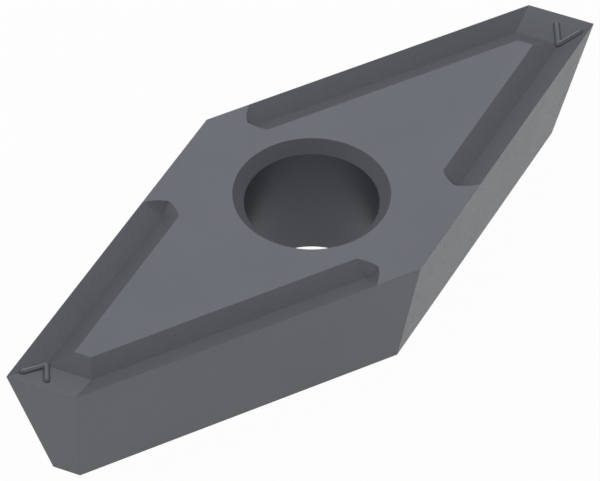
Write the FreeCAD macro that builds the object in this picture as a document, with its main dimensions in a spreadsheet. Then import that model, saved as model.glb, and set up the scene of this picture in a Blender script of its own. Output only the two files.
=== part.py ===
import FreeCAD, Part
import math
import os

import Sketcher
from FreeCAD import Vector

# A cutting insert with two working tips: a 35 degree rhombus with 11 degrees of relief on every flank,
# whose two acute corners are cut off by a short slanted tip edge. It is one sintered block. A shallow
# V groove follows the cutting edges round each tip, a small raised V marks the leading corner, and a
# countersunk hole takes the holder's screw.
# The part lies on its seat face at height zero, with the hole on the upright axis and its long
# diagonal along X. It is the same again after half a turn about the hole, so one tip is drawn and
# patterned. The tip drawn is the one on +X: its leading edge runs along -Y and its trailing edge
# along +Y.

# Lengths are in millimetres and angles in degrees. Runs and reaches are measured level, in plan.
SIZES = {
    "inscribed_circle": 9.525,  # circle that touches the four long edges
    "nose_angle": 35.0,         # between the two long edges that run out to one tip
    "thickness": 4.76,
    "relief": 11.0,             # lean of every flank, from the cutting edge in to the seat
    "tip_edge": 2.4,            # length of the short slanted edge across a tip
    "tip_turn": 21.4,           # how far that edge is turned from square to the long diagonal
    "groove_depth": 0.30,
    "edge_rake_run": 0.74,      # long edge to the groove's lowest line
    "tip_rake_run": 1.19,       # tip edge to the groove's lowest line
    "wall_run": 0.65,           # lowest line of the groove to the raised middle
    "trailing_stop": 0.16,      # middle of the trailing edge to where its groove begins to run out
    "leading_stop": 3.01,       # the same on the leading edge
    "wheel_lift": 0.30,         # height above the top face of the axis that the run-outs turn about
    "bore_diameter": 4.5,
    "sink_width": 0.375,        # how far the countersink's rim stands outside the bore
    "sink_depth": 0.38,
    "mark_radius": 0.11,        # section of the V mark's rounded rib
    "mark_sink": 0.02,          # how deep the rib's centre line lies under the rake
    "mark_arm": 0.88,
    "mark_spread": 61.5,        # between the two arms of the V, in plan
}

# Headings of the drawn tip's edges, each the way that its flank faces.
TRAILING = "(90 - sizes.nose_angle / 2)"
LEADING = "(sizes.nose_angle / 2 - 90)"
TIP = "sizes.tip_turn"
INRADIUS = "sizes.inscribed_circle / 2"
# Hole axis to a tip edge: the reach of the rhombus's own corner that way, less the height of the
# triangle that the tip edge cuts off it.
TIP_REACH = "(%s * cos(%s) / sin(sizes.nose_angle / 2) - sizes.tip_edge * " \
            "cos(%s - sizes.nose_angle / 2) * cos(%s + sizes.nose_angle / 2) / " \
            "sin(sizes.nose_angle))" % (INRADIUS, TIP, TIP, TIP)
VALLEY_HEIGHT = "sizes.thickness - sizes.groove_depth"

FLAT_WITHIN = 1e-7   # mm
SAME_VOLUME = 1e-6   # of the solid's volume


def make_sheet(doc):
    """Put each driving size in the spreadsheet under its own name."""
    sheet = doc.addObject("Spreadsheet::Sheet", "sizes")
    for row, (name, size) in enumerate(SIZES.items(), start=1):
        sheet.set("A%d" % row, name)
        sheet.set("B%d" % row, str(size))
        sheet.setAlias("B%d" % row, name)
    doc.recompute()
    return sheet


def worth(doc, expression):
    """What an expression comes to with the sizes as they stand."""
    found = doc.sizes.evalExpression(expression)
    return float(getattr(found, "Value", found))


def meet_on(first, second, reach_one, reach_two):
    """Where two lines in plan meet, as an expression for each of x and y.

    A line is given by the heading of its normal and its distance from the hole axis.
    """
    turn = "sin((%s) - (%s))" % (second, first)
    x = "((%s) * sin(%s) - (%s) * sin(%s)) / %s" % (reach_one, second, reach_two, first, turn)
    y = "((%s) * cos(%s) - (%s) * cos(%s)) / %s" % (reach_two, first, reach_one, second, turn)
    return x, y


def corner_point(doc, one, two):
    """The same as a point, from two (heading, distance) pairs."""
    x, y = meet_on(one[0], two[0], one[1], two[1])
    return Vector(worth(doc, x), worth(doc, y), 0)


def make_sketch(body, name, offset):
    """A sketch on the body's level plane, moved and turned by a placement expression."""
    sketch = body.newObject("Sketcher::SketchObject", name)
    level = [plane for plane in body.Origin.OriginFeatures if plane.Role == "XY_Plane"][0]
    sketch.AttachmentSupport = [(level, "")]
    sketch.MapMode = "FlatFace"
    sketch.setExpression("AttachmentOffset", offset)
    return sketch


def level_at(height):
    """Placement expression of a level sketch."""
    return "placement(vector(0; 0; %s); rotation(0; 0; 0))" % height


def add_ring(sketch, corners):
    """Draw a closed ring of straight lines through the corners."""
    count = len(corners)
    for index in range(count):
        sketch.addGeometry(Part.LineSegment(corners[index], corners[(index + 1) % count]), False)
    for index in range(count):
        sketch.addConstraint(Sketcher.Constraint("Coincident", index, 2, (index + 1) % count, 1))


def drive(sketch, constraint, expression):
    """Add a dimension and bind it to the sizes."""
    index = sketch.addConstraint(constraint)
    sketch.setExpression("Constraints[%d]" % index, expression)


def drive_edge(doc, sketch, line, heading, reach):
    """Hold a line at a heading and at a distance from the hole axis."""
    run = "%s + 90" % heading
    turn = math.radians(worth(doc, run))
    drive(sketch, Sketcher.Constraint("Angle", line, turn), run)
    drive(sketch, Sketcher.Constraint("Distance", -1, 1, line, worth(doc, reach)), reach)


def draw_outline(doc, body):
    """The cutting edges: six lines at the top face, the same after half a turn."""
    half = [(LEADING, INRADIUS), (TIP, TIP_REACH), (TRAILING, INRADIUS)]
    last = ("%s + 180" % LEADING, INRADIUS)
    lines = half + [last]
    found = [corner_point(doc, lines[index], lines[index + 1]) for index in range(3)]
    corners = [found[2] * -1] + found + [found[0] * -1, found[1] * -1]
    sketch = make_sketch(body, "cutting_edges", level_at("sizes.thickness"))
    add_ring(sketch, corners)
    for line, (heading, reach) in enumerate(half):
        drive_edge(doc, sketch, line, heading, reach)
    for line in range(3):
        sketch.addConstraint(Sketcher.Constraint("Symmetric", line, 1, line + 3, 1, -1, 1))
    return sketch


def draw_groove_ring(doc, body, name, height, edge_inset, tip_inset):
    """The groove's shape at one height: along three edges of the tip, and closed behind.

    The two ends stand square to their edges, and reach in past the groove's wall by its run again.
    """
    edge_reach = "%s - (%s)" % (INRADIUS, edge_inset)
    tip_reach = "%s - (%s)" % (TIP_REACH, tip_inset)
    end_length = "sizes.edge_rake_run + 2 * sizes.wall_run - (%s)" % edge_inset
    edges = [(LEADING, edge_reach), (TIP, tip_reach), (TRAILING, edge_reach)]
    stops = [("%s + 90" % LEADING, "sizes.leading_stop"), ("%s - 90" % TRAILING, "sizes.trailing_stop")]
    lines = [stops[0]] + edges + [stops[1]]
    outer = [corner_point(doc, lines[index], lines[index + 1]) for index in range(4)]
    length = worth(doc, end_length)
    inward = []
    for point, heading in ((outer[3], TRAILING), (outer[0], LEADING)):
        turn = math.radians(worth(doc, heading))
        inward.append(point - Vector(math.cos(turn), math.sin(turn), 0) * length)
    sketch = make_sketch(body, name, level_at(height))
    add_ring(sketch, outer + inward)
    for line, (heading, reach) in enumerate(edges):
        drive_edge(doc, sketch, line, heading, reach)
    for line, edge, stop in ((3, 2, stops[1]), (5, 0, stops[0])):
        sketch.addConstraint(Sketcher.Constraint("Perpendicular", edge, line))
        drive(sketch, Sketcher.Constraint("Distance", -1, 1, line, worth(doc, stop[1])), stop[1])
        drive(sketch, Sketcher.Constraint("Distance", line, length), end_length)
    return sketch


def make_blank(doc, body):
    """The block under the cutting edges, leaning in by the relief down to its seat."""
    blank = body.newObject("PartDesign::Pad", "blank")
    blank.Profile = draw_outline(doc, body)
    blank.Reversed = True
    blank.setExpression("Length", "sizes.thickness")
    blank.setExpression("TaperAngle", "-sizes.relief")
    return blank


def make_groove(doc, body):
    """Cut the hollow that the rakes leave, then put back the raised middle with its sloping wall."""
    edge = draw_groove_ring(doc, body, "rake_top", "sizes.thickness", "0", "0")
    valley = draw_groove_ring(doc, body, "valley", VALLEY_HEIGHT,
                              "sizes.edge_rake_run", "sizes.tip_rake_run")
    hollow = body.newObject("PartDesign::SubtractiveLoft", "rake_hollow")
    hollow.Profile = valley
    hollow.Sections = [edge]
    hollow.Ruled = True

    top = draw_groove_ring(doc, body, "wall_top", "sizes.thickness",
                           "sizes.edge_rake_run + sizes.wall_run", "sizes.tip_rake_run + sizes.wall_run")
    middle = body.newObject("PartDesign::AdditiveLoft", "raised_middle")
    middle.Profile = valley
    middle.Sections = [top]
    middle.Ruled = True
    return [hollow, middle]


def make_run_out(doc, body, name, heading, along, stop):
    """End a groove as a V-rimmed wheel leaves it, turned about a level axis square to the edge.

    The wheel's section is the groove's own, continued up to the axis.
    """
    place = "placement(vector(%s * cos(%s); %s * sin(%s); sizes.thickness + sizes.wheel_lift); " \
            "rotation(%s; 0; 90))" % (stop, along, stop, along, heading)
    rim_out = "%s - sizes.edge_rake_run" % INRADIUS
    rim_down = "sizes.wheel_lift + sizes.groove_depth"
    share = "(1 + sizes.wheel_lift / sizes.groove_depth)"
    rake_base = "sizes.edge_rake_run * %s" % share
    wall_base = "sizes.wall_run * %s" % share
    rim = Vector(worth(doc, rim_out), -worth(doc, rim_down), 0)
    outer = Vector(rim.x + worth(doc, rake_base), 0, 0)
    inner = Vector(rim.x - worth(doc, wall_base), 0, 0)
    sketch = make_sketch(body, name + "_section", place)
    add_ring(sketch, [inner, rim, outer])
    sketch.addConstraint(Sketcher.Constraint("PointOnObject", 0, 1, -1))
    sketch.addConstraint(Sketcher.Constraint("PointOnObject", 2, 1, -1))
    drive(sketch, Sketcher.Constraint("DistanceX", -1, 1, 1, 1, rim.x), rim_out)
    drive(sketch, Sketcher.Constraint("DistanceY", 1, 1, -1, 1, -rim.y), rim_down)
    drive(sketch, Sketcher.Constraint("DistanceX", 1, 1, 2, 1, outer.x - rim.x), rake_base)
    drive(sketch, Sketcher.Constraint("DistanceX", 0, 1, 1, 1, rim.x - inner.x), wall_base)
    wheel = body.newObject("PartDesign::Groove", name)
    wheel.Profile = sketch
    wheel.ReferenceAxis = (sketch, ["H_Axis"])
    wheel.Midplane = True
    wheel.Angle = 180
    return wheel


def make_mark_arm(doc, body, name, heading, climb):
    """One arm of the V mark: a round-ended rib that starts in the corner of the groove."""
    x, y = meet_on(LEADING, TIP, "%s - sizes.edge_rake_run" % INRADIUS,
                   "%s - sizes.tip_rake_run" % TIP_REACH)
    start = "vector(%s; %s; %s - sizes.mark_sink)" % (x, y, VALLEY_HEIGHT)
    place = "placement(%s; rotation(%s; -%s; 0))" % (start, heading, climb)
    radius = worth(doc, "sizes.mark_radius")
    length = worth(doc, "sizes.mark_arm")
    sketch = make_sketch(body, name + "_section", place)
    sketch.addGeometry(Part.LineSegment(Vector(-radius, 0, 0), Vector(length + radius, 0, 0)), False)
    sketch.addGeometry(Part.ArcOfCircle(Part.Circle(Vector(length, 0, 0), Vector(0, 0, 1), radius),
                                        0, math.pi / 2), False)
    sketch.addGeometry(Part.LineSegment(Vector(length, radius, 0), Vector(0, radius, 0)), False)
    sketch.addGeometry(Part.ArcOfCircle(Part.Circle(Vector(0, 0, 0), Vector(0, 0, 1), radius),
                                        math.pi / 2, math.pi), False)
    for one, two in (((0, 2), (1, 1)), ((1, 2), (2, 1)), ((2, 2), (3, 1)), ((3, 2), (0, 1))):
        sketch.addConstraint(Sketcher.Constraint("Coincident", one[0], one[1], two[0], two[1]))
    sketch.addConstraint(Sketcher.Constraint("Horizontal", 0))
    sketch.addConstraint(Sketcher.Constraint("Horizontal", 2))
    sketch.addConstraint(Sketcher.Constraint("Coincident", 3, 3, -1, 1))
    sketch.addConstraint(Sketcher.Constraint("PointOnObject", 1, 3, -1))
    sketch.addConstraint(Sketcher.Constraint("PointOnObject", 0, 1, -1))
    sketch.addConstraint(Sketcher.Constraint("Vertical", 3, 3, 3, 1))
    drive(sketch, Sketcher.Constraint("Radius", 3, radius), "sizes.mark_radius")
    drive(sketch, Sketcher.Constraint("DistanceX", 3, 3, 1, 3, length), "sizes.mark_arm")
    sketch.addConstraint(Sketcher.Constraint("Vertical", 1, 3, 1, 2))
    rib = body.newObject("PartDesign::Revolution", name)
    rib.Profile = sketch
    rib.ReferenceAxis = (sketch, ["H_Axis"])
    rib.Angle = 360
    return rib


def make_mark(doc, body):
    """The raised V: one arm lies in the bend between the two rakes, the other on the tip's rake."""
    across, up = meet_on(LEADING, TIP, "sizes.edge_rake_run", "sizes.tip_rake_run")
    bend = "(atan2(%s; %s) / 1 deg)" % (up, across)
    bend_climb = "atan2(sizes.groove_depth; hypot(%s; %s))" % (across, up)
    side = "(%s + sizes.mark_spread)" % bend
    side_climb = "atan(sizes.groove_depth / sizes.tip_rake_run * cos(%s - %s))" % (side, TIP)
    return [make_mark_arm(doc, body, "mark_in_bend", bend, bend_climb),
            make_mark_arm(doc, body, "mark_on_rake", side, side_climb)]


def make_second_tip(body, features):
    """Repeat the tip's features after half a turn about the hole."""
    upright = [axis for axis in body.Origin.OriginFeatures if axis.Role == "Z_Axis"][0]
    turned = body.newObject("PartDesign::PolarPattern", "second_tip")
    turned.Originals = features
    turned.Axis = (upright, [""])
    turned.Angle = 360
    turned.Occurrences = 2
    body.Tip = turned
    return turned


def make_screw_hole(doc, body):
    """The bore with its countersink: half a section turned about the upright axis.

    It passes both faces by the countersink's depth.
    """
    top = "sizes.thickness + sizes.sink_depth"
    shoulder = "sizes.thickness - sizes.sink_depth"
    bore = "sizes.bore_diameter / 2"
    mouth = "sizes.bore_diameter / 2 + 2 * sizes.sink_width"
    low, high, step = -worth(doc, "sizes.sink_depth"), worth(doc, top), worth(doc, shoulder)
    narrow, wide = worth(doc, bore), worth(doc, mouth)
    sketch = make_sketch(body, "hole_section", "placement(vector(0; 0; 0); rotation(0; 0; 90))")
    add_ring(sketch, [Vector(0, low, 0), Vector(narrow, low, 0), Vector(narrow, step, 0),
                      Vector(wide, high, 0), Vector(0, high, 0)])
    sketch.addConstraint(Sketcher.Constraint("PointOnObject", 0, 1, -2))
    sketch.addConstraint(Sketcher.Constraint("Horizontal", 0))
    sketch.addConstraint(Sketcher.Constraint("Vertical", 1))
    sketch.addConstraint(Sketcher.Constraint("Horizontal", 3))
    sketch.addConstraint(Sketcher.Constraint("Vertical", 4))
    drive(sketch, Sketcher.Constraint("DistanceY", 0, 1, -1, 1, -low), "sizes.sink_depth")
    drive(sketch, Sketcher.Constraint("DistanceX", 0, 1, 0, 2, narrow), bore)
    drive(sketch, Sketcher.Constraint("DistanceY", -1, 1, 2, 1, step), shoulder)
    drive(sketch, Sketcher.Constraint("DistanceY", -1, 1, 3, 1, high), top)
    drive(sketch, Sketcher.Constraint("DistanceX", 4, 1, 3, 1, wide), mouth)
    hole = body.newObject("PartDesign::Groove", "screw_hole")
    hole.Profile = sketch
    hole.ReferenceAxis = (sketch, ["V_Axis"])
    hole.Angle = 360
    return hole


def make_insert(doc):
    """The whole insert, one sintered block."""
    body = doc.addObject("PartDesign::Body", "carbide_insert")
    body.Label = "carbide_insert"
    make_blank(doc, body)
    features = make_groove(doc, body)
    features.append(make_run_out(doc, body, "trailing_run_out", TRAILING, "(%s - 90)" % TRAILING,
                                 "sizes.trailing_stop"))
    features.append(make_run_out(doc, body, "leading_run_out", LEADING, "(%s + 90)" % LEADING,
                                 "sizes.leading_stop"))
    features += make_mark(doc, body)
    doc.recompute()
    make_second_tip(body, features)
    make_screw_hole(doc, body)
    body.Placement = FreeCAD.Placement()
    return body


def check(doc, bodies):
    """Stop on a failed object, a loose sketch, a bad solid, or a feature that changed nothing."""
    for item in doc.Objects:
        if "Invalid" in item.State or "Error" in item.State:
            raise RuntimeError("%s failed: %s" % (item.Name, item.State))
        if item.TypeId == "Sketcher::SketchObject" and not item.FullyConstrained:
            raise RuntimeError("%s is not fully constrained" % item.Name)
    grows = ("PartDesign::AdditiveLoft", "PartDesign::Revolution")
    shrinks = ("PartDesign::SubtractiveLoft", "PartDesign::Groove", "PartDesign::PolarPattern")
    for body in bodies:
        shape = body.Shape
        if shape.isNull() or not shape.isValid() or len(shape.Solids) != 1:
            raise RuntimeError("%s is not one sound solid" % body.Label)
        solids = [item for item in body.Group if item.TypeId.startswith("PartDesign::")]
        for before, after in zip(solids, solids[1:]):
            change = after.Shape.Volume - before.Shape.Volume
            if (after.TypeId in grows and change <= 0) or (after.TypeId in shrinks and change >= 0):
                raise RuntimeError("%s changed the solid the wrong way" % after.Name)


def on_planes(shape):
    """The same solid with every flat facet on a plane of its own.

    A taper or a ruled loft leaves flat facets as ruled surfaces, which don't say that they are flat.
    """
    faces = []
    for face in shape.Faces:
        if face.Surface.TypeId == "Part::GeomBSplineSurface" and face.findPlane():
            face = Part.Face(face.findPlane(), face.Wires)
        faces.append(face)
    solid = Part.Solid(Part.Shell(faces))
    solid.fix(FLAT_WITHIN, FLAT_WITHIN, FLAT_WITHIN)
    if not solid.isValid() or abs(solid.Volume - shape.Volume) > SAME_VOLUME * shape.Volume:
        raise RuntimeError("a facet changed as it was put on its plane")
    return solid


def main():
    doc = FreeCAD.newDocument("insert")
    make_sheet(doc)
    bodies = [make_insert(doc)]
    doc.recompute()
    check(doc, bodies)
    os.makedirs("parts", exist_ok=True)
    for body in bodies:
        solid = on_planes(body.Shape)
        solid.exportStep(os.path.join("parts", body.Label + ".step"))
        print(body.Label, "volume %.3f mm3" % solid.Volume, "faces", len(solid.Faces))


main()
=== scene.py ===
# %% [markdown]
# # A carbide cutting insert
#
# The object is one block of sintered carbide, 25 mm from tip to tip and 4.76 mm thick. Two of its
# corners cut metal. Each has a short slanted edge, a groove that curls the chip away and a raised
# V beside it. A countersunk hole in the middle takes the screw that clamps the block in a tool
# holder.
#
# The packed model holds the exact shape, but as coarse triangles with edges of no width at all.
# This lesson builds the same block again in Geometry Nodes from the same few sizes, with round
# curves and lightly honed edges, gives it its surface, and puts it in a small studio. Lengths are
# in metres, so a size in millimetres is written times MM.

import math

import bmesh
import bpy
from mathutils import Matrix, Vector


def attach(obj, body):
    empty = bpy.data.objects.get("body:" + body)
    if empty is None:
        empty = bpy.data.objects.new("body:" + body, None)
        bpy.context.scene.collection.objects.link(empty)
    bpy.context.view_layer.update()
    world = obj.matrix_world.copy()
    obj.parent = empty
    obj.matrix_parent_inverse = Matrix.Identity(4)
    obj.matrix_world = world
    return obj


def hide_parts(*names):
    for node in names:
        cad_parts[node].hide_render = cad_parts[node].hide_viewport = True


MM = 0.001
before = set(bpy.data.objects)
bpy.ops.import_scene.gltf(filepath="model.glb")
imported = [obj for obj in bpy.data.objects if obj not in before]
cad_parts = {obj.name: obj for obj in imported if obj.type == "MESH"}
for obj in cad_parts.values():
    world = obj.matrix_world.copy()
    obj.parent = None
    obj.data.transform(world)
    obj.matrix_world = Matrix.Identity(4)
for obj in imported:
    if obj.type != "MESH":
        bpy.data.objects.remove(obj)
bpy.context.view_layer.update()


print("packed model's nodes:", list(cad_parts))

# %% [markdown]
# ## The camera
#
# The picture is 600 by 481 pixels. It shows the insert from 45 degrees above, close up and with
# almost no perspective, which is a long lens from some way off. A short lens from near by could
# give the same size, but it would splay the flanks. The camera aims at a point inside the screw
# hole, and a sixth of a degree of roll levels it as the picture is.

# %% Place the camera
CAMERA_AT = Vector((-74.2211, -74.1657, 107.5755)) * MM
CAMERA_AIM = Vector((0.6189, 1.1791, 1.2714)) * MM
CAMERA_ROLL = math.radians(-0.163)
CAMERA_LENS_MM = 266.785
CAMERA_SENSOR_MM = 36.0
CAMERA_NEAR = 10 * MM    # nothing nearer to the camera is drawn


def place_camera():
    """A long lens that looks from CAMERA_AT to CAMERA_AIM."""
    lens = bpy.data.cameras.new("studio_camera")
    lens.lens = CAMERA_LENS_MM
    lens.sensor_width = CAMERA_SENSOR_MM
    lens.clip_start = CAMERA_NEAR
    camera = bpy.data.objects.new("studio_camera", lens)
    bpy.context.scene.collection.objects.link(camera)
    camera.location = CAMERA_AT
    camera.rotation_euler = (CAMERA_AIM - CAMERA_AT).to_track_quat("-Z", "Y").to_euler()
    camera.rotation_euler.rotate_axis("Z", CAMERA_ROLL)
    bpy.context.scene.camera = camera
    return camera


camera = place_camera()
print("camera, mm from its aim:", round((camera.location - CAMERA_AIM).length / MM, 1))

# %% [markdown]
# ## Sums in a node tree
#
# The insert's shape follows a rule, so it suits Geometry Nodes: a few named sizes go in, and
# every corner is worked out from them. Wiring each sum by hand would bury the rule under hundreds
# of Math nodes. The small class below lets a sum be written as a sum: adding or multiplying two
# of its numbers adds the Math node that does it. The surface's shader further on uses it too.

# %% Write sums as sums
class Number:
    """A number that a node tree works out."""

    def __init__(self, tree, socket):
        self.tree = tree
        self.socket = socket

    def work(self, operation, *others):
        """Add the Math node for an operation on this number and the others."""
        values = dict(enumerate((self, *others)))
        return Number(self.tree, add(self.tree, "ShaderNodeMath", values, operation=operation))

    def __add__(self, other):
        return self.work("ADD", other)

    def __sub__(self, other):
        return self.work("SUBTRACT", other)

    def __mul__(self, other):
        return self.work("MULTIPLY", other)

    def __truediv__(self, other):
        return self.work("DIVIDE", other)

    def __neg__(self):
        return self.work("MULTIPLY", -1.0)

    def sin(self):
        return self.work("SINE")

    def cos(self):
        return self.work("COSINE")

    def tan(self):
        return self.work("TANGENT")

    def above(self, other):
        """1 where this number is above the other, and 0 elsewhere."""
        return self.work("GREATER_THAN", other)

    def below(self, other):
        """1 where this number is below the other, and 0 elsewhere."""
        return self.work("LESS_THAN", other)


def feed(tree, socket, value):
    """Link a socket to whatever the tree works out, or write a plain value on it."""
    if isinstance(value, Number):
        tree.links.new(value.socket, socket)
    elif isinstance(value, bpy.types.NodeSocket):
        tree.links.new(value, socket)
    elif isinstance(value, list):
        for part in value:
            feed(tree, socket, part)
    else:
        socket.default_value = value


def add(tree, kind, inputs, output=0, **settings):
    """Add a node, fill its inputs by name or place, and give one of its outputs."""
    node = tree.nodes.new(kind)
    for key, value in settings.items():
        setattr(node, key, value)
    for key, value in inputs.items():
        feed(tree, node.inputs[key], value)
    return node.outputs[output]


def constant(tree, value):
    """A fixed number, for a sum that starts with one."""
    socket = add(tree, "ShaderNodeValue", {})
    socket.default_value = value
    return Number(tree, socket)


def axes(tree, socket):
    """The three numbers of a vector."""
    parts = tree.nodes.new("ShaderNodeSeparateXYZ")
    feed(tree, parts.inputs[0], socket)
    return [Number(tree, output) for output in parts.outputs]


def new_tree(name, sizes):
    """A geometry tree with one number input for each size, and those inputs as Numbers."""
    tree = bpy.data.node_groups.new(name, "GeometryNodeTree")
    tree.interface.new_socket("Geometry", in_out="OUTPUT", socket_type="NodeSocketGeometry")
    for size in sizes:
        tree.interface.new_socket(size, in_out="INPUT", socket_type="NodeSocketFloat")
    entry = tree.nodes.new("NodeGroupInput")
    return tree, {size: Number(tree, entry.outputs[size]) for size in sizes}


def finish_tree(tree, *results):
    """Link the results to the tree's outputs, in their order."""
    last = tree.nodes.new("NodeGroupOutput")
    for socket, result in zip(last.inputs, results):
        feed(tree, socket, result)


print("besides + - * / a Number can:", [name for name in vars(Number) if name[0] != "_"])

# %% [markdown]
# ## One corner, as a group
#
# Seen from above, every edge of the insert is a straight line. A line is told by its heading,
# which is the way that its outside faces, and its reach, which is how far it passes from the
# hole's axis. A corner is where two lines meet. That sum is needed more than fifty times. Written
# out each time it would fill the tree, so it is a node group of its own: two headings, two
# reaches and a height in, one point out.

# %% Make the corner group
def make_corner_group():
    """Where the lines (heading 1, reach 1) and (heading 2, reach 2) meet, at a height."""
    tree, size = new_tree("corner_of_two_edges",
                          ("heading 1", "reach 1", "heading 2", "reach 2", "height"))
    tree.interface.new_socket("Place", in_out="OUTPUT", socket_type="NodeSocketVector")
    one, two = size["heading 1"], size["heading 2"]
    reach_one, reach_two = size["reach 1"], size["reach 2"]
    turn = (two - one).sin()
    across = (reach_one * two.sin() - reach_two * one.sin()) / turn
    up = (reach_two * one.cos() - reach_one * two.cos()) / turn
    place = add(tree, "ShaderNodeCombineXYZ", {"X": across, "Y": up, "Z": size["height"]})
    finish_tree(tree, add(tree, "GeometryNodePoints", {"Position": place}), place)
    return tree


corner_group = make_corner_group()
print("corner group:", len(corner_group.nodes), "nodes")

# %% [markdown]
# ## The sizes
#
# The real insert is a 35 degree rhombus round a circle of 9.525 mm. Its flanks lean in by 11
# degrees, so that only the edges touch the work. The sizes are those of the exact model. Only the
# hone, the form of the scoops and the ribs of the V are this lesson's own. Sizes could be plain
# numbers inside the tree, but as its named inputs each is written once and said by name.

# %% Name the sizes
SIZES = {
    "inscribed circle": 9.525 * MM,         # touches the four long edges
    "nose angle": math.radians(35.0),       # between the long edges that run out to a tip
    "thickness": 4.76 * MM,
    "relief": math.radians(11.0),           # how far a flank leans in
    "hone": 0.008 * MM,                     # width of the round on the outline's edges
    "tip edge": 2.4 * MM,                   # length of the slanted edge across a tip
    "tip turn": math.radians(21.4),         # its turn from square to the long diagonal
    "groove depth": 0.30 * MM,
    "edge rake run": 0.74 * MM,             # long edge to the groove's lowest line, from above
    "tip rake run": 1.19 * MM,              # the same at the slanted edge
    "wall run": 0.65 * MM,                  # lowest line to the raised middle
    "trailing stop": 0.16 * MM,             # middle of a long edge to where its groove stops
    "leading stop": 3.01 * MM,              # the same at the leading edge
    "scoop length": 0.50 * MM,              # from there to the end of the scoop behind it
    "scoop point": 1.48,                    # 1 draws the scoop's rim as an oval, 2 as a diamond
    "bore diameter": 4.5 * MM,
    "sink width": 0.375 * MM,               # the countersink round the bore, from above
    "sink depth": 0.38 * MM,
    "mark radius": 0.12 * MM,
    "mark sink": 0.005 * MM,                # depth of a rib's middle line under the groove's face
    "mark arm": 0.88 * MM,                  # middle line of the rib in the bend
    "mark short arm": 0.84 * MM,            # middle line of the rib on the rake
    "mark spread": math.radians(61.5),      # between the two ribs of a V, seen from above
}
RIGHT_ANGLE = math.pi / 2

insert_tree, size = new_tree("carbide_insert", SIZES)
inradius = size["inscribed circle"] / 2.0
top = size["thickness"]
depth = size["groove depth"]
valley = top - depth

# The headings of the drawn tip's three edges. The other tip is the same after half a turn.
half_nose = size["nose angle"] / 2.0
LEADING = half_nose - RIGHT_ANGLE
TRAILING = -half_nose + RIGHT_ANGLE
TIP = size["tip turn"]
BACK = constant(insert_tree, math.pi)

# The tip edge lies as far out as the rhombus's own corner, less the corner that it cuts off.
cut_off = (size["tip edge"] * (TIP - half_nose).cos() * (TIP + half_nose).cos()
           / size["nose angle"].sin())
tip_reach = inradius * TIP.cos() / half_nose.sin() - cut_off
print("sizes that go in:", len(SIZES))

# %% [markdown]
# ## A few forms to build with
#
# Every form of the insert is convex, or convex forms cut from one another. An outline could be
# extruded and scaled for each, but a scale slopes all sides alike. The Convex Hull node wraps a
# skin round a handful of points, so a form needs no faces of its own, only its corners, and every
# side takes the slope that it should.

# %% Write the form builders
def corner(one, two, height, output=0):
    """The point where two (heading, reach) lines meet, or with output 1 its place."""
    node = insert_tree.nodes.new("GeometryNodeGroup")
    node.node_tree = corner_group
    for place, value in enumerate((*one, *two, height)):
        feed(insert_tree, node.inputs[place], value)
    return node.outputs[output]


def vector(x, y, z):
    """A vector of three numbers."""
    return add(insert_tree, "ShaderNodeCombineXYZ", {"X": x, "Y": y, "Z": z})


def hull(parts):
    """The convex form round some points or meshes."""
    joined = add(insert_tree, "GeometryNodeJoinGeometry", {0: parts})
    return add(insert_tree, "GeometryNodeConvexHull", {0: joined})


def moved(geometry, move=(0.0, 0.0, 0.0), turn=(0.0, 0.0, 0.0)):
    """A copy of a form, turned and then moved."""
    return add(insert_tree, "GeometryNodeTransform",
               {"Geometry": geometry, "Translation": move, "Rotation": turn})


def cut(body, tools):
    """A body less some tools."""
    return add(insert_tree, "GeometryNodeMeshBoolean", {0: body, 1: tools},
               operation="DIFFERENCE", solver="EXACT")


def flagged(geometry, name, value=1.0):
    """The form with a number stored on each of its faces. Cutting keeps it."""
    return add(insert_tree, "GeometryNodeStoreNamedAttribute",
               {"Geometry": geometry, "Name": name, "Value": value},
               data_type="FLOAT", domain="FACE")


def tell(step):
    """Print how far the tree has grown with a step."""
    print("nodes in the insert's tree with", step + ":", len(insert_tree.nodes))


tell("the tip's three lines")

# %% [markdown]
# ## The block
#
# The block is the skin round its outline at the top and the same outline, drawn in by the relief,
# at the seat. A perfectly sharp carbide edge would crumble, so it is honed to a tiny round. Three
# rows of points within a hundredth of a millimetre of each edge give that round. A bevel after
# the cutting could do it too, but it would tangle where a groove runs out on the edge.
#
# Two numbers are stored on the block's faces for the shader: one says which are ground, and the
# other which close the two ends.

# %% Wrap the block round its corners
# How far the rows of the hone lie from an edge, in widths of the hone: (down the flank, in).
HONE_ROWS = ((1.0, 0.0), (0.27, 0.3), (0.0, 1.0))
FLANK_TILT = -0.1        # a face whose normal points down by more is a flank or the seat
END_FACING = 0.9         # a face whose normal follows a tip edge's heading by more is an end
HALF_TURN = (0.0, 0.0, math.pi)


def outline(height, inset):
    """Three corners of the outline at a height. Half a turn gives the other three."""
    lines = [(LEADING, inradius - inset), (TIP, tip_reach - inset), (TRAILING, inradius - inset),
             (LEADING + math.pi, inradius - inset)]
    return [corner(one, two, height) for one, two in zip(lines, lines[1:])]


half_block = []
for down, inward in HONE_ROWS:
    for height in (top - size["hone"] * down, size["hone"] * down):
        inset = (top - height) * size["relief"].tan() + size["hone"] * inward
        half_block += outline(height, inset)
half_points = add(insert_tree, "GeometryNodeJoinGeometry", {0: half_block})
block = hull([half_points, moved(half_points, turn=HALF_TURN)])
facing_x, facing_y, facing_z = axes(insert_tree, add(insert_tree, "GeometryNodeInputNormal", {}))
facing_end = (facing_x * TIP.cos() + facing_y * TIP.sin()).work("ABSOLUTE")
block = flagged(block, "ground", facing_z.below(FLANK_TILT))
block = flagged(block, "end", facing_end.above(END_FACING))
tell("the block")

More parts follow.
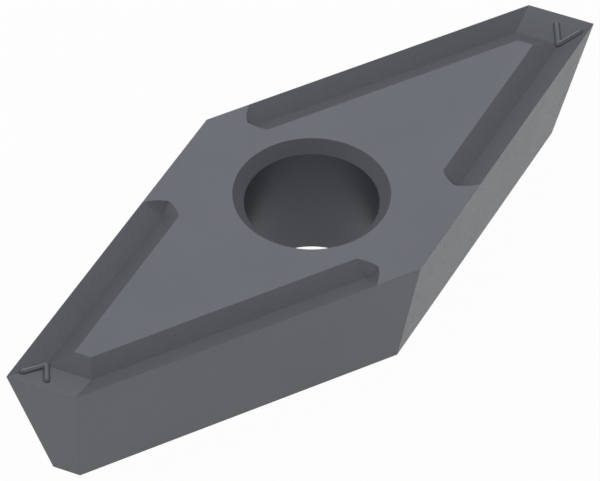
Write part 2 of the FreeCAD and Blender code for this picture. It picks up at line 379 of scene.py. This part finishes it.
# %% [markdown]
# ## The groove
#
# Behind the three edges of a tip runs a V-shaped groove. Its outer side, the rake, falls from the
# cutting edge, and its inner side, the wall, climbs to the raised middle. Two hulls make it: a
# hollow with the slope of the rakes, and a middle with the slope of the walls, cut out of the
# hollow. Both are drawn through the groove's lowest line, so they meet there by themselves. A
# swept V profile is the other way, but its corners would need mitres that a hull gives for
# nothing.

# %% Shape the groove's two slopes
CLEAR = 0.02 * MM        # how far a cutting form passes the face that it cuts
HOLLOW_BACK, MIDDLE_BACK = 0.2, 0.5      # shares of the inradius, behind the hole's axis


def sloped_ring(over_valley, edge_run, tip_run, back_reach):
    """Corners at a height over the groove's lowest line, for faces that slope out by a run."""
    share = over_valley / depth
    edge = inradius - size["edge rake run"] + edge_run * share
    tip = tip_reach - size["tip rake run"] + tip_run * share
    lines = [(BACK, back_reach), (LEADING, edge), (TIP, tip), (TRAILING, edge), (BACK, back_reach)]
    return [corner(one, two, valley + over_valley) for one, two in zip(lines, lines[1:])]


def sloped_form(edge_run, tip_run, back, past):
    """A hull with those slopes, from under the lowest line to over the top."""
    under, over = constant(insert_tree, -past), depth + past
    back_reach = inradius * back
    return hull(sloped_ring(under, edge_run, tip_run, back_reach)
                + sloped_ring(over, edge_run, tip_run, back_reach))


hollow = sloped_form(size["edge rake run"], size["tip rake run"], HOLLOW_BACK, CLEAR)
middle = sloped_form(-size["wall run"], -size["wall run"], MIDDLE_BACK, 2 * CLEAR)
tell("the two slopes")

# %% [markdown]
# ## The scoops
#
# A groove doesn't end square. Its lowest line bends up to the top, and its two sides come along,
# so that it narrows to a blunt point. The lowest line and the rim are both drawn from one ring of
# points. A round ring would lose the point and a straight-sided one the smooth start, so the ring
# is drawn out to a form between an oval and a diamond. The scoop is cut from the block that stops
# the groove. It is one part in a hundred too large, since forms that only touch don't cut
# cleanly.

# %% End the groove in scoops
SCOOP_SIDES = 96
SCOOP_GROWTH = 1.01      # how much wider and deeper a scoop is than the groove that it ends
SCOOP_STEEPEST = math.radians(60.0)     # slope at which its end passes the top
STOP_SHIFT = 0.01 * MM   # the stop lies this far towards the tip from the scoop's middle


def drawn_out(share):
    """A share of the way to the rim, with the round ring drawn out towards its points."""
    return share.work("ABSOLUTE").work("POWER", size["scoop point"]) * share.work("SIGN")


def scoop(edge, along, stop):
    """The form that ends a groove, in place at its stop."""
    across, lengthwise, _ = axes(insert_tree, add(insert_tree, "GeometryNodeInputPosition", {}))
    across, lengthwise = drawn_out(across), drawn_out(lengthwise)
    # The rim lies one run away on the wall's side, and another on the rake's.
    wide = size["wall run"] + (size["edge rake run"] - size["wall run"]) * across.above(0.0)
    over = 2 * CLEAR         # how far the scoop stands over the top
    swell = constant(insert_tree, over) / depth + SCOOP_GROWTH
    ring = add(insert_tree, "GeometryNodeMeshCircle", {"Vertices": SCOOP_SIDES, "Radius": 1.0})
    rim_place = vector(across * wide * swell,
                       lengthwise * (size["scoop length"] + over / math.tan(SCOOP_STEEPEST)), over)
    low_place = vector(0.0, lengthwise * size["scoop length"],
                       across.work("ABSOLUTE") * depth * -SCOOP_GROWTH)
    rings = [add(insert_tree, "GeometryNodeSetPosition", {"Geometry": ring, "Position": place})
             for place in (rim_place, low_place)]
    over_lowest = corner((edge, inradius - size["edge rake run"]), (along, stop), top, output=1)
    return flagged(moved(hull(rings), move=over_lowest, turn=vector(0.0, 0.0, edge)), "curved")


def stopping_block(edge, along, stop):
    """A box that fills the groove's form behind its stop, all but the scoop."""
    # It passes the groove by a wall run inwards, and by far more outwards, under and over it.
    width = size["edge rake run"] + size["wall run"] * 2.0
    start = stop + STOP_SHIFT
    places = []
    for heading, reach in ((edge, inradius + top), (edge + math.pi, width - inradius)):
        for end in (start, start - size["inscribed circle"]):
            for height in (valley - top, top + top):
                places.append(corner((heading, reach), (along, end), height))
    return cut(hull(places), [scoop(edge, along, stop)])


stops = [stopping_block(LEADING, LEADING + RIGHT_ANGLE, size["leading stop"]),
         stopping_block(TRAILING, TRAILING - RIGHT_ANGLE, size["trailing stop"])]
groove = flagged(cut(hollow, [middle] + stops), "groove")
body = cut(block, [groove, moved(groove, turn=HALF_TURN)])
tell("the scoops")

# %% [markdown]
# ## The raised V
#
# Two thin round-ended ribs make a V beside each leading corner. One lies in the bend between the
# two rakes and the other on the tip's rake. A swept tube could make a rib, but it would need
# caps. The hull of two balls has round ends by itself. Its direction in the bend comes from two
# corners that the tree already has: the groove's lowest corner and the cutting one.

# %% Lay the ribs of the V
BALL_SEGMENTS, BALL_RINGS = 24, 12
LAID_FLAT = (1.0, 1.0, 0.0)              # what a vector is multiplied by to lose its height


def on_vectors(operation, *values):
    """A Vector Math node's result."""
    return add(insert_tree, "ShaderNodeVectorMath", dict(enumerate(values)), operation=operation)


def rib(direction, arm):
    """A round-ended rib from the corner of the groove in a direction."""
    ball = add(insert_tree, "GeometryNodeMeshUVSphere",
               {"Segments": BALL_SEGMENTS, "Rings": BALL_RINGS, "Radius": size["mark radius"]})
    reach = add(insert_tree, "ShaderNodeVectorMath",
                {0: on_vectors("NORMALIZE", direction), "Scale": arm}, operation="SCALE")
    end = on_vectors("ADD", rib_start, reach)
    bar = hull([moved(ball, move=rib_start), moved(ball, move=end)])
    return flagged(flagged(bar, "rib"), "curved")


cutting_corner = corner((LEADING, inradius), (TIP, tip_reach), top, output=1)
lowest_corner = corner((LEADING, inradius - size["edge rake run"]),
                       (TIP, tip_reach - size["tip rake run"]), valley, output=1)
rib_start = on_vectors("SUBTRACT", lowest_corner, vector(0.0, 0.0, size["mark sink"]))
in_bend = on_vectors("SUBTRACT", cutting_corner, lowest_corner)

# The other rib is the first one laid flat, turned by the spread, and tilted up the tip's rake.
level = on_vectors("NORMALIZE", on_vectors("MULTIPLY", in_bend, LAID_FLAT))
level = add(insert_tree, "ShaderNodeVectorRotate", {"Vector": level, "Angle": size["mark spread"]},
            rotation_type="Z_AXIS")
across, up, _ = axes(insert_tree, level)
climb = (across * TIP.cos() + up * TIP.sin()) * depth / size["tip rake run"]
on_rake = on_vectors("ADD", level, vector(0.0, 0.0, climb))

ribs = [rib(in_bend, size["mark arm"]), rib(on_rake, size["mark short arm"])]
body = add(insert_tree, "GeometryNodeMeshBoolean",
           {1: [body] + ribs + [moved(arm, turn=HALF_TURN) for arm in ribs]},
           operation="UNION", solver="EXACT")
tell("the ribs")

# %% [markdown]
# ## The screw hole
#
# The screw goes through a plain bore and its head seats in a cone. One turned profile could cut
# both, but a cylinder and a cone keep their faces apart for the shader. Both are made with many
# sides: the rim of the hole is the roundest line in the picture, and it shows every corner of a
# coarse circle.

# %% Bore and countersink
HOLE_SIDES = 192
TOOL_REACH = 2.0         # how many times as long as its cut a cutting form is

bore_radius = size["bore diameter"] / 2.0
bore = add(insert_tree, "GeometryNodeMeshCylinder",
           {"Vertices": HOLE_SIDES, "Radius": bore_radius, "Depth": top * TOOL_REACH})
bore = flagged(moved(bore, move=vector(0.0, 0.0, top / 2.0)), "bore")
sink = add(insert_tree, "GeometryNodeMeshCone",
           {"Vertices": HOLE_SIDES, "Radius Bottom": bore_radius,
            "Radius Top": bore_radius + size["sink width"] * TOOL_REACH,
            "Depth": size["sink depth"] * TOOL_REACH})
sink = flagged(moved(sink, move=vector(0.0, 0.0, top - size["sink depth"])), "sink")
body = cut(body, [flagged(bore, "curved"), flagged(sink, "curved")])
tell("the hole")

# %% [markdown]
# ## Out of the tree
#
# The tree ends by welding the tiny gaps that cutting leaves, making any instances real and
# setting the material. The result is then taken off the modifier as a plain mesh. Its flat faces
# come as several pieces each, so those are dissolved into one.

# %% Finish the tree and take its mesh
WELD = 0.0005 * MM
FLAT_WITHIN = math.radians(0.1)

carbide = bpy.data.materials.new("sintered_carbide")
body = add(insert_tree, "GeometryNodeMergeByDistance", {"Geometry": body, "Distance": WELD})
body = add(insert_tree, "GeometryNodeRealizeInstances", {"Geometry": body})
body = add(insert_tree, "GeometryNodeSetMaterial", {"Geometry": body, "Material": carbide})
finish_tree(insert_tree, body)


def mesh_from_tree(name, tree, sizes):
    """Run a tree on an empty object with these sizes, and give its result as a plain mesh."""
    holder = bpy.data.objects.new(name, bpy.data.meshes.new(name))
    bpy.context.scene.collection.objects.link(holder)
    modifier = holder.modifiers.new(name, "NODES")
    modifier.node_group = tree
    for socket in tree.interface.items_tree:
        if socket.in_out == "INPUT":
            modifier[socket.identifier] = sizes[socket.name]
    drawn = holder.evaluated_get(bpy.context.evaluated_depsgraph_get())
    made = bpy.data.meshes.new_from_object(drawn)
    holder.modifiers.clear()
    holder.data = made
    return holder


def in_bmesh(thing, work):
    """Do some work on an object's mesh and write it back."""
    edit = bmesh.new()
    edit.from_mesh(thing.data)
    result = work(edit)
    edit.to_mesh(thing.data)
    edit.free()
    return result


def join_flat_faces(edit):
    """Dissolve the edges between faces of one plane. Faces of two kinds never share one."""
    bmesh.ops.dissolve_limit(edit, angle_limit=FLAT_WITHIN, verts=edit.verts, edges=edit.edges)


def measure(edit):
    """Volume in cubic mm, and how many edges don't have just two faces."""
    loose = sum(len(edge.link_faces) != 2 for edge in edit.edges)
    return round(edit.calc_volume() / MM ** 3, 3), loose


insert = mesh_from_tree("honed_insert", insert_tree, SIZES)
in_bmesh(insert, join_flat_faces)
print("insert tree:", len(insert_tree.nodes), "nodes;", len(insert.data.polygons), "faces")
print("cubic mm and open edges:", in_bmesh(insert, measure))

# %% [markdown]
# ## Smooth and flat
#
# Shading is smooth only where the real surface is round: the hole, the scoops and the ribs. An
# angle alone can't tell a scoop's small facets from a groove's shallow crease, so the tree stored
# a number on the round faces. An edge between two of them is smooth unless it is a real corner,
# and all other edges are sharp, so that every flat face shades as one tone.

# %% Set sharp edges
CURVE_ANGLE = math.radians(25.0)
YES = 0.5                # a stored number above this says yes


def set_sharp_edges(edit):
    """Keep an edge smooth only between two round faces."""
    curved = edit.faces.layers.float["curved"]
    for face in edit.faces:
        face.smooth = True
    for edge in edit.edges:
        round_here = all(face[curved] > YES for face in edge.link_faces)
        edge.smooth = round_here and edge.calc_face_angle() < CURVE_ANGLE
    return sum(edge.smooth for edge in edit.edges)


print("smooth edges:", in_bmesh(insert, set_sharp_edges), "of", len(insert.data.edges))

# %% [markdown]
# ## What the carbide is made of
#
# The block is tungsten carbide grains held together by cobalt: dark grey with a breath of blue,
# half way between a metal and a stone, and satin all over. The shader starts from that colour and
# adds what the real surface shows from near by: a fine grain, a slow mottle and grinding lines. It
# also paints light and shade into the colour, with a tone for each kind of face. Patterns are laid
# by the object's own coordinates in millimetres, so they keep their size. Stored numbers tell the
# shader which face is which. Several materials could do that too, but the grain would be set in
# each.

# %% Start the shader
CARBIDE_RED, CARBIDE_GREEN, CARBIDE_BLUE = 0.138, 0.149, 0.169
CARBIDE_METALLIC = 0.4
CARBIDE_ROUGHNESS = 0.45
PER_MM = 1.0 / MM
NOISE_DETAIL = 2.0

carbide.use_nodes = True
shader_tree = carbide.node_tree
principled = shader_tree.nodes["Principled BSDF"]
principled.inputs["Metallic"].default_value = CARBIDE_METALLIC

object_place = add(shader_tree, "ShaderNodeTexCoord", {}, output="Object")
place_mm = add(shader_tree, "ShaderNodeVectorMath", {0: object_place, "Scale": PER_MM},
               operation="SCALE")


def stored(name):
    """A number that the insert's tree stored on the faces."""
    return Number(shader_tree, add(shader_tree, "ShaderNodeAttribute", {}, output="Fac",
                                   attribute_name=name))


def noise(place, per_mm):
    """Noise between -1 and 1, mostly near 0, at a number of waves per mm."""
    values = {"Vector": place, "Scale": per_mm, "Detail": NOISE_DETAIL}
    return Number(shader_tree, add(shader_tree, "ShaderNodeTexNoise", values)) * 2.0 - 1.0


ground, end_face, groove_face = stored("ground"), stored("end"), stored("groove")
bore_face, sink_face, rib_face = stored("bore"), stored("sink"), stored("rib")
print("stored numbers on the mesh:", [layer.name for layer in insert.data.attributes
                                      if layer.domain == "FACE"])

# %% [markdown]
# ## Grain, mottle and grinding lines
#
# Pressed powder leaves a grain of a tenth of a millimetre and less, and sintering leaves slow,
# faint clouds. The flanks and the seat are ground after that, and a wheel leaves fine lines along
# each edge. A wave pattern would need a direction for every flank. Noise that is squeezed in
# height gives such lines on all of them, without a seam.

# %% Lay the patterns
GRAIN_PER_MM = 11.0
MOTTLE_PER_MM = 0.55
LINES_PER_MM = 1.1
LINES_SQUEEZE = (1.0, 1.0, 22.0)

grain = noise(place_mm, GRAIN_PER_MM)
mottle = noise(place_mm, MOTTLE_PER_MM)
squeezed = add(shader_tree, "ShaderNodeVectorMath", {0: place_mm, 1: LINES_SQUEEZE},
               operation="MULTIPLY")
lines = noise(squeezed, LINES_PER_MM) * ground
print("waves per mm of grain, mottle and lines:", GRAIN_PER_MM, MOTTLE_PER_MM, LINES_PER_MM)

# %% [markdown]
# ## Tone, with painted light and shade
#
# All tones are one number that the colour is multiplied by, and 1 leaves it as it is. A groove has
# painted light at its cutting edge and painted shade that deepens along its lowest line. How deep
# a point lies comes from its own height below the top. The ribs of the V are painted paler, a
# painted highlight. The ground flanks are painted a shade darker than the pressed top, and the two
# ends a shade darker again, as painted shade. The bore is painted darkest, as painted shade in the
# hole, and the hole's sloped mouth is painted paler, as painted light. The grain shows more where
# the powder was pressed into a slope: in the grooves and in that mouth.

# %% Work out the tone
GRAIN_TONE = 0.07
PRESSED_GRAIN = 1.6      # times as much in a groove and in the hole's mouth
MOTTLE_TONE = 0.05
LINES_TONE = 0.06
# Painted light at a groove's cutting edge, and painted shade along its lowest line.
GROOVE_RIM_PAINTED_LIGHT = 1.10   # at the cutting edge
GROOVE_LOW_PAINTED_SHADE = 0.98   # along the lowest line
# Painted shade inside the bore.
BORE_PAINTED_SHADE = 0.80
# Painted light on the hole's sloped mouth.
SINK_PAINTED_LIGHT = 1.15
# Painted shade on the flanks and the seat.
GROUND_PAINTED_SHADE = 0.88
# Painted shade on the two ends.
END_PAINTED_SHADE = 0.93          # on an end, on top of the ground one
# Painted highlight on the ribs of the V.
RIB_PAINTED_HIGHLIGHT = 1.12

height_mm = axes(shader_tree, place_mm)[2]
sunk = (-height_mm + SIZES["thickness"] / MM) / (SIZES["groove depth"] / MM)
# A groove's painted light and shade, by how deep a point lies below the top.
groove_painted_light_and_shade = sunk * (GROOVE_LOW_PAINTED_SHADE - GROOVE_RIM_PAINTED_LIGHT) + (GROOVE_RIM_PAINTED_LIGHT - 1.0)
pressed_grain = grain * ((groove_face + sink_face) * (PRESSED_GRAIN - 1.0) + 1.0)
# Grain, mottle and lines are the carbide's own; the rest of this sum is painted light and shade.
tone = (pressed_grain * GRAIN_TONE + mottle * MOTTLE_TONE + lines * LINES_TONE
        + groove_painted_light_and_shade * groove_face + bore_face * (BORE_PAINTED_SHADE - 1.0)
        + sink_face * (SINK_PAINTED_LIGHT - 1.0) + rib_face * (RIB_PAINTED_HIGHLIGHT - 1.0)
        + ground * (GROUND_PAINTED_SHADE - 1.0) + end_face * (END_PAINTED_SHADE - 1.0) + 1.0)
colour = add(shader_tree, "ShaderNodeCombineColor",
             {"Red": tone * CARBIDE_RED, "Green": tone * CARBIDE_GREEN,
              "Blue": tone * CARBIDE_BLUE})
feed(shader_tree, principled.inputs["Base Color"], colour)
print("tone of the bore and of a cutting edge:", BORE_PAINTED_SHADE, GROOVE_RIM_PAINTED_LIGHT)

# %% [markdown]
# ## Gloss and bump
#
# A paler spot of the pressed surface is also a little rougher, as its pores scatter light, so the
# same patterns move the roughness too. A wheel cuts through the grains of a ground face and
# leaves some of them glossier than others. That is the fine speckle of a flank in full light.
# Chips rub the ribs of the V glossier than the rest. The sloped mouth of the hole keeps the rough
# skin of the furnace and shows no bright spot anywhere.
#
# The bump is a micrometre or less: enough to break up a reflection, and too little to see as a
# shape. Real dents would cost millions of triangles for the same effect.

# %% Roughen and bump the surface
GRAIN_ROUGHNESS = 0.06
GROUND_GRAIN = 2.5       # times as much on a ground face
MOTTLE_ROUGHNESS = 0.04
LINES_ROUGHNESS = 0.04
SINK_ROUGHNESS = 0.25
RIB_ROUGHNESS = -0.14
GRAIN_HEIGHT = 0.0009 * MM
LINES_HEIGHT = 0.0004 * MM

ground_grain = grain * (ground * (GROUND_GRAIN - 1.0) + 1.0)
roughness = (ground_grain * GRAIN_ROUGHNESS + mottle * MOTTLE_ROUGHNESS
             + lines * LINES_ROUGHNESS + sink_face * SINK_ROUGHNESS
             + rib_face * RIB_ROUGHNESS + CARBIDE_ROUGHNESS)
feed(shader_tree, principled.inputs["Roughness"], roughness)
relief_height = grain * (GRAIN_HEIGHT / MM) + lines * (LINES_HEIGHT / MM)
bump = add(shader_tree, "ShaderNodeBump", {"Height": relief_height, "Distance": MM})
feed(shader_tree, principled.inputs["Normal"], bump)
print("shader:", len(shader_tree.nodes), "nodes")

# %% [markdown]
# ## The floor
#
# The insert stands on a pale floor in front of a white nothing. Most of what the camera and the
# carbide's own reflections see of the floor is plain white, mixed in by ray type. The rest is
# paint, which keeps a trace of the shadow. More light would whiten the floor too, but it would
# bleach the carbide.

# %% Lay the floor
FLOOR_HALF = 1.5         # metres, far past the edges of the picture
FLOOR_DROP = 0.02 * MM   # under the seat, so that the two surfaces don't share a plane
FLOOR_COLOUR = (0.8, 0.8, 0.8, 1.0)
FLOOR_PLAIN_SHARE = 0.97  # how much of the floor shows as plain white


def make_floor():
    """A square of paint that the camera sees as almost plain white."""
    mesh = bpy.data.meshes.new("floor")
    half, height = FLOOR_HALF, -FLOOR_DROP
    mesh.from_pydata([(-half, -half, height), (half, -half, height),
                      (half, half, height), (-half, half, height)], [], [(0, 1, 2, 3)])
    floor = bpy.data.objects.new("floor", mesh)
    bpy.context.scene.collection.objects.link(floor)
    material = bpy.data.materials.new("pale_floor")
    material.use_nodes = True
    tree = material.node_tree
    rays = tree.nodes.new("ShaderNodeLightPath")
    camera_ray = Number(tree, rays.outputs["Is Camera Ray"])
    seen = camera_ray.work("MAXIMUM", rays.outputs["Is Glossy Ray"])
    paint = add(tree, "ShaderNodeBsdfDiffuse", {"Color": FLOOR_COLOUR})
    white = add(tree, "ShaderNodeEmission", {"Strength": 1.0})
    mix = add(tree, "ShaderNodeMixShader", {0: seen * FLOOR_PLAIN_SHARE, 1: paint, 2: white})
    feed(tree, tree.nodes["Material Output"].inputs["Surface"], mix)
    tree.nodes.remove(tree.nodes["Principled BSDF"])
    mesh.materials.append(material)


make_floor()
print("floor, mm across:", round(2 * FLOOR_HALF / MM))

# %% [markdown]
# ## The lamps
#
# Four square softboxes hang not quite half a metre away, 45 degrees up. A small one behind the
# insert lights the top, and a small weak one in front the near flanks. A large one on the left
# fills the grooves and a large weak one on the right the far ends. Large ones are used there
# because the scoops turn every way within half a millimetre, and a small lamp would glint in
# them.

# %% Hang the lamps
LAMPS = {
    # name: (turn round the insert in degrees, side in metres, watts)
    "lamp_behind": (45.0, 0.25, 0.354),
    "lamp_left": (135.0, 0.60, 0.466),
    "lamp_front": (290.0, 0.25, 0.105),
    "lamp_right": (0.0, 0.60, 0.175),
}
LAMP_RISE = math.radians(45.0)
LAMP_AWAY = 0.45         # metres


def hang_lamp(name, turn, side, watts):
    """A square softbox that looks at the origin."""
    light = bpy.data.lights.new(name, "AREA")
    light.size = side
    light.energy = watts
    lamp = bpy.data.objects.new(name, light)
    bpy.context.scene.collection.objects.link(lamp)
    level = math.cos(LAMP_RISE)
    towards = Vector((math.cos(turn) * level, math.sin(turn) * level, math.sin(LAMP_RISE)))
    lamp.location = towards * LAMP_AWAY
    lamp.rotation_euler = towards.to_track_quat("Z", "Y").to_euler()


for name, (turn, side, watts) in LAMPS.items():
    hang_lamp(name, math.radians(turn), side, watts)
print("lamps:", len(LAMPS))

# %% [markdown]
# ## The world
#
# Even light from all round lifts what the lamps leave dark, as the walls of a white tent do for
# small shiny things. A tent could be built round the insert, but it would hide the lamps. A ray
# from the camera meets pure white instead, so the picture's ground stays white however weak that
# light is.

# %% Set the world
WORLD_LIGHT = 0.318      # what the insert gets; the camera sees 1
WHITE = (1.0, 1.0, 1.0, 1.0)


def set_world():
    """Even light all round, which the camera sees as white."""
    world = bpy.data.worlds.new("studio")
    bpy.context.scene.world = world
    world.use_nodes = True
    tree = world.node_tree
    rays = tree.nodes.new("ShaderNodeLightPath")
    strength = add(tree, "ShaderNodeMapRange", {"Value": rays.outputs["Is Camera Ray"],
                                                "To Min": WORLD_LIGHT, "To Max": 1.0})
    background = tree.nodes["Background"]
    background.inputs["Color"].default_value = WHITE
    feed(tree, background.inputs["Strength"], strength)


set_world()
bpy.context.scene.view_settings.view_transform = "Standard"
print("world light on the insert:", WORLD_LIGHT)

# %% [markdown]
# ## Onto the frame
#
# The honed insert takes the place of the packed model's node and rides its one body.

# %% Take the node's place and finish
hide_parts("carbide_insert")
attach(insert, "root")
